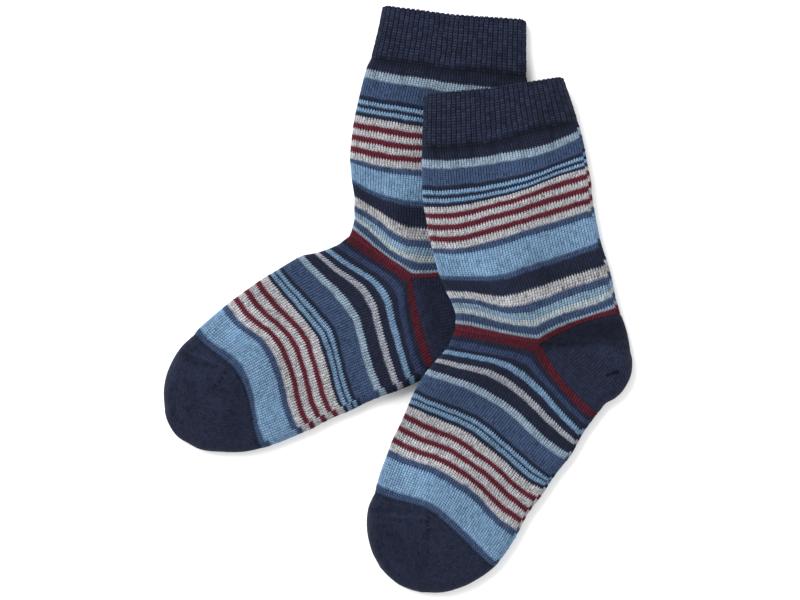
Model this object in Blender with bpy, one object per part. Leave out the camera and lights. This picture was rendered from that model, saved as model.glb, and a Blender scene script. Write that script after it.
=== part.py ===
"""A pair of child's striped crew socks, lying flat, one partly on top of the other.

A sock is knitted as one tube, in rows of stitches called courses, which are counted here from
the top of the cuff: ribbed cuff, leg, heel pocket, foot and toe pocket. Lying flat, the tube has
two sides. It folds along the front, which is the shin and the instep, and along the back, which
is the calf and the sole.

The tables are in millimetres, seen from above: X to the right, Y away from the toes. Z = 0 is
the surface that the socks lie on.
"""
import math
from collections import namedtuple

import bmesh
import bpy
from mathutils import Vector
from mathutils.geometry import intersect_point_line

MM = 0.001                      # metres in a millimetre

# Driving sizes of the cloth, in millimetres
KNIT_WALL = 1.4                 # plain knit, with floats of the other yarns behind it
RIB_WALL = 1.3                  # double welt of the cuff, between its ribs
RIB_RISE = 0.6                  # height of a rib above that
FOLD_RADIUS = 4.5               # roundness of the cloth where the flat tube turns over
LAYER_GAP = 0.3                 # between the two socks where one lies on the other
HEEL_SEAM = 0.15                # half of the gap beside the heel pocket
HEEL_CORNER = 1.5               # from the corner of the heel gore to the pocket's cloth
DRAPE_START = 1.5               # the front sock is level this far past the rear sock's edge
DRAPE_RUN = 16.0                # and reaches the surface over this distance
PRESS_RUN = 12.0                # the rear sock is fully crowned this far from the front sock
PRESSED_HEIGHT = 2 * FOLD_RADIUS
DEEPEST_CREASE = 1.0            # below the pressed height

# Courses at which the knitting changes, and how much of one is left out beside a seam
CUFF_END = 30
LEG_END = 127
FOOT_END = 223
SEAM_TRIM = 0.25

# Steps round the tube: on each flat side, and on each fold
PLAIN_STEPS = (12, 6)
RIB_STEPS = (52, 12)            # two to a rib, so 64 ribs in all

# Spans along the tube
CUFF_SPANS = 2
TUBE_SPANS = 9
TOE_SPANS = 4

# Colours are linear, as the shader takes them
Finish = namedtuple("Finish", "colour roughness")
FINISHES = {
    "navy_rib": Finish((0.017, 0.021, 0.042), 0.95),
    "striped_knit": Finish((0.115, 0.165, 0.27), 0.92),
    "navy_knit": Finish((0.021, 0.026, 0.052), 0.92),
}

# A course across one side: where it meets the front fold, passes the middle and meets the back
# fold, how far each half bows towards the toe, and how high the sock stands in the middle.
Course = namedtuple("Course", "number front middle back bow_front bow_back height")

# A stretch of the heel pocket's outline, seen from the corner of its gore: how far round it is
# from the leg (0) to the sole (1), its reach from that corner, and the depth of a crease there.
HeelRay = namedtuple("HeelRay", "turn reach sink")

# A soft trough in the upper side: its two ends in plan, its half-width and its depth.
Trough = namedtuple("Trough", "start end spread depth")

# The foot's table ends in the toe, whose open end is closed by turning over at toe_edge, where
# the upper and the lower side meet in front of the toes.
Sock = namedtuple("Sock", "name leg foot toe_edge heel troughs")

REAR = Sock(
    name="rear",
    leg=(
        Course(0, (-6.0, 126.0), (24.5, 122.0), (55.5, 120.0), 0.0, 0.0, 9.6),
        Course(30, (-11.5, 104.0), (22.0, 99.0), (55.5, 96.0), 0.0, 0.0, 9.6),
        Course(36, (-13.5, 99.0), (21.0, 93.0), (56.0, 91.5), 0.0, 0.5, 9.4),
        Course(59, (-18.5, 79.0), (16.5, 73.5), (53.0, 72.0), 0.0, 0.0, 9.8),
        Course(81, (-20.5, 60.5), (14.5, 55.5), (51.0, 54.5), 1.0, 0.0, 10.0),
        Course(96, (-20.0, 50.0), (13.5, 40.5), (50.5, 40.5), 2.5, 1.5, 10.2),
        Course(105, (-19.0, 44.0), (13.0, 30.5), (50.5, 32.0), 2.0, 1.5, 10.4),
        Course(118, (-19.0, 34.0), (8.5, 16.5), (49.0, 19.5), 1.0, 1.0, 10.8),
        Course(127, (-21.0, 27.5), (5.5, 9.5), (46.0, 11.5), 0.0, 0.0, 11.0),
    ),
    foot=(
        Course(127, (-21.0, 27.5), (5.5, 9.5), (16.0, -31.0), 0.0, 2.5, 11.0),
        Course(141, (-28.5, 22.5), (-2.5, -1.0), (6.5, -36.5), -2.0, 1.0, 11.4),
        Course(161, (-41.0, 18.6), (-19.0, -8.0), (-7.5, -41.7), 0.0, 1.0, 11.4),
        Course(172, (-49.8, 14.2), (-28.0, -12.5), (-17.7, -46.3), 0.0, 0.5, 11.4),
        Course(182, (-56.2, 10.6), (-35.5, -17.0), (-24.0, -49.2), -0.5, 1.0, 11.4),
        Course(193, (-65.2, 4.4), (-44.5, -21.0), (-33.2, -53.4), 0.0, 0.5, 11.4),
        Course(204, (-73.0, -1.5), (-53.0, -27.0), (-41.5, -57.5), -0.5, 0.5, 11.4),
        Course(220, (-85.5, -12.0), (-65.5, -34.0), (-55.5, -63.0), -2.0, 0.0, 11.0),
        Course(223, (-87.5, -14.5), (-67.5, -35.5), (-59.0, -64.0), -1.5, -0.5, 11.0),
        Course(231, (-94.0, -21.0), (-73.0, -39.5), (-67.0, -65.5), 0.0, 0.0, 10.6),
        Course(240, (-98.5, -30.0), (-80.0, -45.0), (-76.0, -65.5), 0.0, 0.0, 10.0),
        Course(249, (-101.0, -39.0), (-87.0, -48.5), (-85.0, -64.5), 0.0, 0.0, 9.0),
        Course(256, (-100.5, -48.5), (-92.0, -53.0), (-92.0, -61.0), 0.0, 0.0, 7.4),
    ),
    toe_edge=Course(262, (-100.5, -48.5), (-97.7, -55.6), (-92.0, -61.0), 0.4, 0.6, 7.4),
    heel=(
        HeelRay(0.00, 40.5, 0.0),
        HeelRay(0.18, 41.0, 0.0),
        HeelRay(0.35, 41.8, 1.2),
        HeelRay(0.43, 43.0, 0.0),
        HeelRay(0.55, 43.8, 0.0),
        HeelRay(0.68, 43.4, 0.0),
        HeelRay(0.78, 42.4, 0.0),
        HeelRay(0.88, 41.0, 0.0),
        HeelRay(1.00, 41.9, 0.0),
    ),
    troughs=(
        Trough((-22.0, 40.0), (2.0, 30.0), 5.0, 0.9),
        Trough((-22.0, 24.0), (-6.0, 19.0), 6.0, 1.2),
    ),
)

FRONT = Sock(
    name="front",
    leg=(
        Course(0, (11.0, 88.5), (41.0, 91.0), (70.5, 95.5), 0.0, 0.0, 9.6),
        Course(30, (10.0, 65.5), (42.5, 68.0), (77.5, 77.0), 1.5, 0.0, 9.6),
        Course(36, (10.0, 60.0), (44.0, 62.0), (78.5, 73.0), 1.0, 2.0, 9.4),
        Course(59, (11.0, 40.5), (46.5, 44.0), (82.0, 57.0), 1.5, 0.5, 9.8),
        Course(81, (14.5, 21.5), (49.5, 28.0), (84.5, 38.5), 2.0, 0.0, 10.0),
        Course(96, (17.5, 10.5), (53.0, 13.0), (87.5, 24.0), 2.0, 0.0, 10.2),
        Course(105, (20.5, 3.5), (56.0, 3.5), (90.5, 15.0), 2.0, 0.0, 10.4),
        Course(118, (24.5, -6.0), (58.5, -12.0), (93.5, 2.0), 0.0, 0.0, 10.8),
        Course(127, (24.5, -13.0), (60.5, -19.0), (95.5, -5.0), 0.0, -0.5, 11.0),
    ),
    foot=(
        Course(127, (24.5, -13.0), (60.5, -19.0), (85.5, -49.0), 0.0, 0.5, 11.0),
        Course(141, (21.0, -20.0), (54.0, -31.0), (80.5, -56.0), -1.5, 0.5, 11.4),
        Course(161, (13.0, -32.0), (46.5, -44.5), (73.5, -68.0), -2.0, 1.0, 11.4),
        Course(172, (7.0, -39.0), (39.0, -54.5), (66.5, -77.0), -1.5, 1.5, 11.4),
        Course(182, (4.0, -46.0), (35.5, -60.5), (63.5, -81.5), -2.0, 1.0, 11.4),
        Course(193, (0.0, -54.5), (30.5, -69.0), (57.5, -90.0), -1.0, 0.5, 11.4),
        Course(204, (-4.0, -64.5), (27.0, -77.5), (52.5, -98.5), -1.0, 1.0, 11.4),
        Course(220, (-9.5, -80.0), (20.0, -91.0), (43.6, -113.0), -1.5, -0.5, 11.0),
        Course(223, (-10.0, -82.5), (18.0, -93.0), (41.4, -115.0), -2.0, 0.0, 11.0),
        Course(231, (-13.0, -90.0), (15.5, -98.5), (35.5, -119.5), 0.0, 0.0, 10.6),
        Course(240, (-13.5, -99.0), (11.0, -106.0), (28.0, -123.5), 0.0, 0.0, 10.0),
        Course(249, (-11.5, -108.0), (6.5, -113.0), (19.0, -126.0), 0.0, 0.0, 9.0),
        Course(256, (-8.0, -115.0), (2.5, -119.0), (10.0, -126.0), 0.0, 0.0, 7.4),
    ),
    toe_edge=Course(262, (-8.0, -115.0), (0.1, -122.6), (10.0, -126.0), 0.4, 0.4, 7.4),
    heel=(
        HeelRay(0.00, 37.7, 0.0),
        HeelRay(0.18, 38.3, 0.0),
        HeelRay(0.35, 39.5, 1.6),
        HeelRay(0.43, 40.85, 0.0),
        HeelRay(0.55, 41.9, 0.0),
        HeelRay(0.68, 41.6, 0.0),
        HeelRay(0.78, 40.5, 0.0),
        HeelRay(0.88, 38.2, 0.0),
        HeelRay(1.00, 39.0, 0.0),
    ),
    troughs=(
        Trough((22.0, -9.0), (42.0, -15.0), 5.0, 1.0),
        Trough((66.0, 8.0), (92.0, 12.0), 6.0, 0.9),
    ),
)


def smooth_step(value):
    """Eases from 0 to 1 as value runs from 0 to 1."""
    value = min(max(value, 0.0), 1.0)
    return value * value * (3.0 - 2.0 * value)


def blend(first, second, part):
    return first + (second - first) * part


# ---------------------------------------------------------------- plan of a sock

def flatten_course(course):
    """The course's numbers in one row, so that they can be interpolated together."""
    return (course.number, *course.front, *course.middle, *course.back,
            course.bow_front, course.bow_back, course.height)


def course_at(table, number):
    """The course of a given number, on smooth curves through the table's courses."""
    rows = [flatten_course(course) for course in table]
    last = len(rows) - 1
    index = next(i for i in range(last) if number <= rows[i + 1][0] or i == last - 1)
    low, high = rows[index], rows[index + 1]
    before = rows[max(index - 1, 0)]
    after = rows[min(index + 2, last)]
    span = high[0] - low[0]
    part = (number - low[0]) / span
    values = []
    for a, b, c, d in zip(before, low, high, after):
        slope_low = (c - a) / (high[0] - before[0]) * span
        slope_high = (d - b) / (after[0] - low[0]) * span
        values.append(b * (2 * part ** 3 - 3 * part ** 2 + 1)
                      + slope_low * (part ** 3 - 2 * part ** 2 + part)
                      + c * (3 * part ** 2 - 2 * part ** 3)
                      + slope_high * (part ** 3 - part ** 2))
    return Course(number, values[1:3], values[3:5], values[5:7], *values[7:])


def plan_point(course, across):
    """The place at a distance across from the course's middle, negative towards the front."""
    middle = Vector(course.middle)
    edge, bow, facing = (course.back, course.bow_back, 1.0)
    if across < 0.0:
        edge, bow, facing = (course.front, course.bow_front, -1.0)
    chord = Vector(edge) - middle
    part = abs(across) / chord.length
    towards_toe = Vector((chord.y, -chord.x)).normalized() * facing
    return middle + chord * part + towards_toe * 4.0 * bow * part * (1.0 - part)


def heel_edge(sock, turn, reach):
    """A place at a given reach from the heel's corner, turned from the leg to the sole."""
    corner = Vector(sock.leg[-1].middle)
    to_leg = Vector(sock.leg[-1].back) - corner
    to_sole = Vector(sock.foot[0].back) - corner
    start = math.atan2(to_leg.y, to_leg.x)
    angle = blend(start, math.atan2(to_sole.y, to_sole.x), turn)
    return corner + Vector((math.cos(angle), math.sin(angle))) * reach


def outline(sock):
    """The sock's edge in plan: down its front, round the toe, and up the sole, heel and calf."""
    front = [course.front for course in sock.leg + sock.foot[1:]]
    sole = [course.back for course in reversed(sock.foot)]
    heel = [heel_edge(sock, ray.turn, ray.reach) for ray in reversed(sock.heel)]
    calf = [course.back for course in reversed(sock.leg)]
    return [Vector(place).to_2d() for place in front + [sock.toe_edge.middle] + sole + heel + calf]


def distance_outside(place, edge):
    """How far a place lies outside an outline, negative inside it."""
    nearest = math.inf
    inside = False
    for start, end in zip(edge, edge[1:] + edge[:1]):
        if (start - end).length == 0.0:
            continue
        closest, part = intersect_point_line(place, start, end)
        closest = start.lerp(end, min(max(part, 0.0), 1.0))
        nearest = min(nearest, (place - closest).length)
        if (start.y > place.y) != (end.y > place.y):
            crossing = blend(start.x, end.x, (place.y - start.y) / (end.y - start.y))
            if place.x < crossing:
                inside = not inside
    return -nearest if inside else nearest


REAR_OUTLINE = outline(REAR)
FRONT_OUTLINE = outline(FRONT)


# ---------------------------------------------------------------- height of the cloth

def lift(sock, place):
    """How far the front sock's cloth is raised by the rear sock under it."""
    if sock is REAR:
        return 0.0
    past_edge = distance_outside(place, REAR_OUTLINE) - DRAPE_START
    return (PRESSED_HEIGHT + LAYER_GAP) * smooth_step(1.0 - past_edge / DRAPE_RUN)


def crown_share(sock, place):
    """The share of its crown that the upper side keeps: none of it under the other sock."""
    if sock is FRONT:
        return 1.0
    return smooth_step(distance_outside(place, FRONT_OUTLINE) / PRESS_RUN)


def trough_depth(sock, place):
    depth = 0.0
    for trough in sock.troughs:
        start, end = Vector(trough.start), Vector(trough.end)
        part = intersect_point_line(place, start, end)[1]
        closest = start.lerp(end, min(max(part, 0.0), 1.0))
        depth += trough.depth * math.exp(-((place.to_2d() - closest).length / trough.spread) ** 2)
    return depth


def cloth_point(sock, course, lap, inset, sink=0.0):
    """A point of the flattened tube, in millimetres.

    lap runs from 0 to 4 round the tube: over the upper side from front to back, round the back
    fold, under the lower side from back to front, and round the front fold. inset is the depth
    below the outer surface, and sink the depth of a crease in the upper side.
    """
    radius = min(FOLD_RADIUS, course.height / 2)
    lengths = [(Vector(edge) - Vector(course.middle)).length for edge in (course.front, course.back)]
    front_flat, back_flat = (max(length - radius, 0.0) for length in lengths)
    stretch = int(lap)
    part = lap - stretch
    if stretch in (0, 2):
        towards_back = 2 * part - 1 if stretch == 0 else 1 - 2 * part
        across = towards_back * (back_flat if towards_back > 0 else front_flat)
        angle = 0.0 if stretch == 0 else math.pi
    elif stretch == 1:
        angle = math.pi * part
        across = back_flat + (radius - inset) * math.sin(angle)
    else:
        angle = math.pi * (1 + part)
        across = -front_flat + (radius - inset) * math.sin(angle)
    place = plan_point(course, across)
    upper = (1 + math.cos(angle)) / 2
    from_middle = min(abs(across) / max(lengths[across > 0], radius), 1.0)
    crown = (course.height - 2 * radius) * math.cos(math.pi / 2 * from_middle)
    hollow = trough_depth(sock, place) + sink * math.sin(math.pi * from_middle)
    hollow = min(hollow, course.height - PRESSED_HEIGHT + DEEPEST_CREASE)
    height = radius + (radius - inset) * math.cos(angle)
    height += upper * crown_share(sock, place) * (crown - hollow)
    return Vector((place.x, place.y, height + lift(sock, place)))


def laps(steps):
    """Places round the tube, for a number of steps on each side and on each fold."""
    side, fold = steps
    return [stretch + step / count
            for stretch, count in enumerate((side, fold, side, fold))
            for step in range(count)]


# ---------------------------------------------------------------- walls of cloth

def weave(mesh, rows, looped):
    """Faces between neighbouring rows of vertices; looped rows close on themselves."""
    for first, second in zip(rows, rows[1:]):
        count = len(first)
        for index in range(count if looped else count - 1):
            after = (index + 1) % count
            mesh.faces.new((first[index], first[after], second[after], second[index]))


def close_end(mesh, ring, points):
    """Faces that close a tube's last ring with rows of points from its upper to lower side."""
    side, fold = PLAIN_STEPS
    rows = [ring[:side + 1]]
    for turn, row in enumerate(points, start=1):
        inner = [mesh.verts.new(point * MM) for point in row]
        rows.append([ring[-turn], *inner, ring[side + turn]])
    lower = ring[side + fold:2 * side + fold + 1]
    rows.append(lower[::-1])
    weave(mesh, rows, False)


def add_wall(name, outer, inner, finish, parent, looped=True, ends=None):
    """A closed solid between an outer and an inner skin, each given as rows of points.

    ends are the rows of points that close each skin, where the tube doesn't end open.
    """
    mesh = bmesh.new()
    skins = [[[mesh.verts.new(point * MM) for point in row] for row in skin]
             for skin in (outer, inner)]
    for skin in skins:
        weave(mesh, skin, looped)
    weave(mesh, [skins[0][0], skins[1][0]], looped)
    if ends is None:
        weave(mesh, [skins[0][-1], skins[1][-1]], looped)
    else:
        for skin, points in zip(skins, ends):
            close_end(mesh, skin[-1], points)
    if not looped:
        for end in (0, -1):
            weave(mesh, [[row[end] for row in skin] for skin in skins], False)
    bmesh.ops.triangulate(mesh, faces=mesh.faces)
    bmesh.ops.recalc_face_normals(mesh, faces=mesh.faces)

    data = bpy.data.meshes.new(name)
    mesh.to_mesh(data)
    mesh.free()
    data.shade_smooth()
    data.set_sharp_from_angle(angle=math.radians(50))
    data.materials.append(finish)
    piece = bpy.data.objects.new(name, data)
    piece.parent = parent
    parent.users_collection[0].objects.link(piece)
    return piece


def even_numbers(first, last, spans):
    return [blend(first, last, step / spans) for step in range(spans + 1)]


def tube_rows(sock, table, numbers, inset):
    return [[cloth_point(sock, course_at(table, number), lap, inset) for lap in laps(PLAIN_STEPS)]
            for number in numbers]


def toe_end_points(sock, inset):
    """Rows of points that turn over from the upper to the lower side at the toe's edge.

    Both ends of each row are left out, because they are points of the tube's own folds.
    """
    last = sock.foot[-1]
    side, fold = PLAIN_STEPS
    rows = []
    for turn in range(1, fold):
        angle = math.pi * turn / fold
        row = []
        for step in range(1, side):
            start = cloth_point(sock, last, step / side, inset)
            towards_back = 2 * step / side - 1
            edge = sock.toe_edge.back if towards_back > 0 else sock.toe_edge.front
            across = towards_back * (Vector(edge) - Vector(sock.toe_edge.middle)).length
            ahead = plan_point(sock.toe_edge, across) - start.to_2d()
            reach = ahead.normalized() * (ahead.length - inset) * math.sin(angle)
            radius = last.height / 2
            height = radius + (radius - inset) * math.cos(angle)
            row.append(Vector((start.x + reach.x, start.y + reach.y, height)))
        rows.append(row)
    return rows


# ---------------------------------------------------------------- the pieces of a sock

def make_cuff(sock, finish, parent):
    """Ribs stand up from the outer face of the folded-over welt; its inside is plain."""
    numbers = even_numbers(0, CUFF_END - SEAM_TRIM, CUFF_SPANS)
    places = laps(RIB_STEPS)
    outer = []
    inner = []
    for number in numbers:
        course = course_at(sock.leg, number)
        outer.append([cloth_point(sock, course, lap, RIB_RISE * (index % 2))
                      for index, lap in enumerate(places)])
        inner.append([cloth_point(sock, course, lap, RIB_RISE + RIB_WALL) for lap in places])
    return add_wall(f"{sock.name}_cuff", outer, inner, finish, parent)


def make_leg(sock, finish, parent):
    numbers = even_numbers(CUFF_END + SEAM_TRIM, LEG_END - SEAM_TRIM, TUBE_SPANS)
    skins = [tube_rows(sock, sock.leg, numbers, inset) for inset in (0.0, KNIT_WALL)]
    return add_wall(f"{sock.name}_leg", *skins, finish, parent)


def make_foot(sock, finish, parent):
    numbers = even_numbers(LEG_END + SEAM_TRIM, FOOT_END - SEAM_TRIM, TUBE_SPANS)
    skins = [tube_rows(sock, sock.foot, numbers, inset) for inset in (0.0, KNIT_WALL)]
    return add_wall(f"{sock.name}_foot", *skins, finish, parent)


def make_toe(sock, finish, parent):
    numbers = even_numbers(FOOT_END + SEAM_TRIM, sock.foot[-1].number, TOE_SPANS)
    skins = [tube_rows(sock, sock.foot, numbers, inset) for inset in (0.0, KNIT_WALL)]
    ends = [toe_end_points(sock, inset) for inset in (0.0, KNIT_WALL)]
    return add_wall(f"{sock.name}_toe", *skins, finish, parent, ends=ends)


def make_heel(sock, finish, parent):
    """The pocket fans out from the corner of its gore, between the leg and the sole."""
    corner = Vector(sock.leg[-1].middle)
    side, fold = PLAIN_STEPS
    skins = []
    for inset in (0.0, KNIT_WALL):
        rows = []
        for ray in sock.heel:
            edge = heel_edge(sock, ray.turn, ray.reach)
            away = (edge - corner).normalized()
            into_heel = Vector((away.y, -away.x)) * (1 - 2 * ray.turn) * HEEL_SEAM
            radius = min(FOLD_RADIUS, sock.leg[-1].height / 2)
            start = HEEL_CORNER / (ray.reach - radius)
            half = side // 2
            over = [0.5 + blend(start, 1.0, step / half) / 2 for step in range(half)]
            under = [3.0 - place for place in reversed(over)]
            turning = [1 + step / fold for step in range(fold)] + [2.0]
            middle = corner + into_heel
            bow = blend(sock.leg[-1].bow_back, sock.foot[0].bow_back, ray.turn)
            course = Course(LEG_END, middle, middle, edge + into_heel, 0.0, bow, sock.leg[-1].height)
            rows.append([cloth_point(sock, course, lap, inset, ray.sink)
                         for lap in over + turning + under])
        skins.append(rows)
    return add_wall(f"{sock.name}_heel", *skins, finish, parent, looped=False)


# ---------------------------------------------------------------- scene

def clear_scene():
    for item in list(bpy.data.objects):
        bpy.data.objects.remove(item, do_unlink=True)


def make_finish(name):
    finish = bpy.data.materials.new(name)
    finish.use_nodes = True
    shader = finish.node_tree.nodes["Principled BSDF"]
    shader.inputs["Base Color"].default_value = (*FINISHES[name].colour, 1.0)
    shader.inputs["Roughness"].default_value = FINISHES[name].roughness
    shader.inputs["Metallic"].default_value = 0.0
    return finish


def main():
    clear_scene()
    collection = bpy.data.collections.new("pair_of_socks")
    bpy.context.scene.collection.children.link(collection)
    finishes = {name: make_finish(name) for name in FINISHES}
    for sock in (REAR, FRONT):
        parent = bpy.data.objects.new(f"{sock.name}_sock", None)
        collection.objects.link(parent)
        make_cuff(sock, finishes["navy_rib"], parent)
        make_leg(sock, finishes["striped_knit"], parent)
        make_heel(sock, finishes["navy_knit"], parent)
        make_foot(sock, finishes["striped_knit"], parent)
        make_toe(sock, finishes["navy_knit"], parent)


main()
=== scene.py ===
# %% [markdown]
# # A pair of child's striped crew socks, lying flat
#
# A sock leaves the circular knitting machine as one tube: ribbed cuff, leg, heel pocket, foot and
# toe pocket. Here both socks lie on their sides, one partly on top of the other. Their cloth is
# too fine to model stitch by stitch with loops of yarn, and a picture of knitting would look flat
# from the side. So each piece is a fine shell whose own surface is shaped into the columns and
# rows of the knitting, and its material adds the yarn.

import math
from collections import namedtuple

import bpy
import numpy as np
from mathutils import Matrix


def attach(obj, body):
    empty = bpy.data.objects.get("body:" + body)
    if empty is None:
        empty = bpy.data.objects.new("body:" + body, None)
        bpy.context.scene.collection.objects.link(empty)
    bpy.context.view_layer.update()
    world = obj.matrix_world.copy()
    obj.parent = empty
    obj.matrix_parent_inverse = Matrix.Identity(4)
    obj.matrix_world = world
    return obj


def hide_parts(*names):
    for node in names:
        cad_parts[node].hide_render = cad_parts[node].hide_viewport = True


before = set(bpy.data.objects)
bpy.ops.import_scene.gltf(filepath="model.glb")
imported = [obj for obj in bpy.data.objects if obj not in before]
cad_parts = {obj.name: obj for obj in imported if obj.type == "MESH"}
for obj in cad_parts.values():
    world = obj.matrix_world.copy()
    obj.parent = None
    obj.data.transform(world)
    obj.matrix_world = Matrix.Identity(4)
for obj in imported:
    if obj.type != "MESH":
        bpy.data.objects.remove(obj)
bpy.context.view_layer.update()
MM = 0.001                      # metres in a millimetre
print("pieces to dress:", sorted(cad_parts))

# %% [markdown]
# ## Where the knitting lies
#
# Knitters count cloth in courses, the rows, and wales, the columns of stitches. Course 0 is the
# top of the cuff. Of the 128 wales, numbers 0 to 64 go over the upper side, from the front fold
# (shin and instep) to the back fold (calf and sole), and 64 to 128 return underneath.
#
# A drawn outline alone would leave the stripes straight, and on real cloth they wander. So the
# tables below hold whole courses, in millimetres seen from above: where each meets the front
# fold, the middle and the back fold. A bow moves a half towards the toe, and a sway bends it
# like an S, towards the toe nearer the middle and away from it nearer the fold.

# %% Courses and wales
WALES = 128
HALF, QUARTER = WALES // 2, WALES // 4
CUFF_END, LEG_END, FOOT_END = 30, 127, 223      # courses where the knitting changes
LAST_COURSE = 262
WALE_PITCH, COURSE_PITCH = 1.15, 0.84           # of a relaxed stitch

Course = namedtuple("Course", "number front middle back height bow_front bow_back"
                              " sway_front sway_back", defaults=(0,) * 4)
# A stretch of the heel pocket's outline, seen from the corner of its gore: how far round it is
# from the leg (0) to the sole (1), its reach from that corner, and the depth of a crease there.
HeelRay = namedtuple("HeelRay", "turn reach sink", defaults=(0,))
# A crease: its half-width, its depth (below 0 for a ridge) and its line in plan.
Crease = namedtuple("Crease", "spread depth line")
# creases are those of the upper side, and hollows lift the lower side. gore and linking are lines
# in plan on the toe: the gore's pinholes, and the linked seam.
Sock = namedtuple("Sock", "name leg foot toe_edge heel creases hollows gore linking")


def course_rows(*rows):
    """Courses from rows of numbers: number, x and y at the front, the middle and the back,
    height, bow of the front and back half, and sway of both. Bends left out are 0."""
    return [Course(row[0], row[1:3], row[3:5], row[5:7], *row[7:]) for row in rows]


def crease_rows(*rows):
    """Creases from rows that hold the half-width, the depth and the line's places."""
    return [Crease(spread, depth, line) for spread, depth, *line in rows]


# %% [markdown]
# The rear sock first. Its creases are placed one by one: long shallow ones where the ankle bends,
# short ones in the heel and under the cuff, and a few underneath, where cloth that bears no
# weight lifts off the table.

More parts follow.
